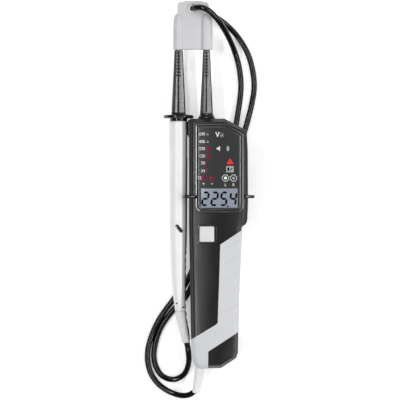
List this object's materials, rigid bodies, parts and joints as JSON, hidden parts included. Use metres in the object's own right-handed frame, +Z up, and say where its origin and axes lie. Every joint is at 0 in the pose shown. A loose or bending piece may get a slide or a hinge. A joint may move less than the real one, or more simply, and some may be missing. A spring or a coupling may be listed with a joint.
{
  "type": "two-pole voltage tester",
  "caption": "Hand-held two-pole voltage tester: display unit, clip-on second probe, tip cap and test lead, lying on its back.",
  "frame": {"origin": "on the table, under the middle of the tester's footprint without its free lead", "axes": "+Z up towards the display, +Y towards the tips, +X to the right as the display is read"},
  "size_m": [0.0773, 0.2717, 0.033],
  "materials": {
    "black_plastic": "satin",
    "gloss_window": "gloss",
    "white_overmould": "soft touch",
    "white_plastic": "satin",
    "cap_plastic": "satin",
    "button_white": "satin",
    "lcd": "gloss",
    "red_window": "gloss",
    "status_window": "gloss",
    "tip_metal": "nickel plated",
    "contact_metal": "plain",
    "screw_steel": "zinc plated",
    "board_green": "solder mask",
    "chip_black": "plain",
    "led_white": "gloss",
    "cell_jacket": "gloss",
    "resistor_body": "gloss",
    "lead_jacket": "semi-gloss"
  },
  "bodies": {
    "root": {"front_shell": "black_plastic", "rear_shell": "black_plastic", "front_overmould": "white_overmould", "rear_overmould": "white_overmould", "finger_guard": "black_plastic", "display_panel": "gloss_window", "lcd_module": "lcd", "scale_windows": "red_window", "status_windows": "status_window", "circuit_board": "board_green", "main_chip": "chip_black", "indicator_leds": "led_white", "buzzer": "chip_black", "vibration_motor": "screw_steel", "tact_switch": "chip_black", "button_bezel": "black_plastic", "battery_tray": "black_plastic", "battery_cells": "cell_jacket", "battery_contacts": "screw_steel", "battery_door": "black_plastic", "door_screw": "screw_steel", "housing_screws": "screw_steel", "main_shaft": "black_plastic", "main_tip": "tip_metal", "tip_clip": "contact_metal", "dock_lug": "black_plastic", "cable_boot": "white_plastic", "test_lead": "lead_jacket"},
    "button": {"push_button": "button_white"},
    "probe": {"probe_shell": "white_plastic", "probe_spine": "black_plastic", "probe_collar": "black_plastic", "probe_shaft": "black_plastic", "probe_tip": "tip_metal", "probe_board": "board_green", "probe_resistors": "resistor_body", "probe_boot": "white_plastic", "probe_mark": "black_plastic"},
    "cap": {"tip_cap": "cap_plastic"}
  },
  "joints": [
    {"name": "button_press", "type": "slide", "parent": "root", "child": "button", "axis": [0, 0, -1], "range_m": [0, 0.0008], "stiffness_N_per_m": 1200, "springref_m": -0.0005},
    {"name": "probe_slide", "type": "slide", "parent": "root", "child": "probe", "axis": [0, 1, 0], "range_m": [0, 0.014], "deforming": ["test_lead"]},
    {"name": "cap_slide", "type": "slide", "parent": "probe", "child": "cap", "axis": [0, 1, 0], "range_m": [0, 0.024], "deforming": ["test_lead"]}
  ]
}
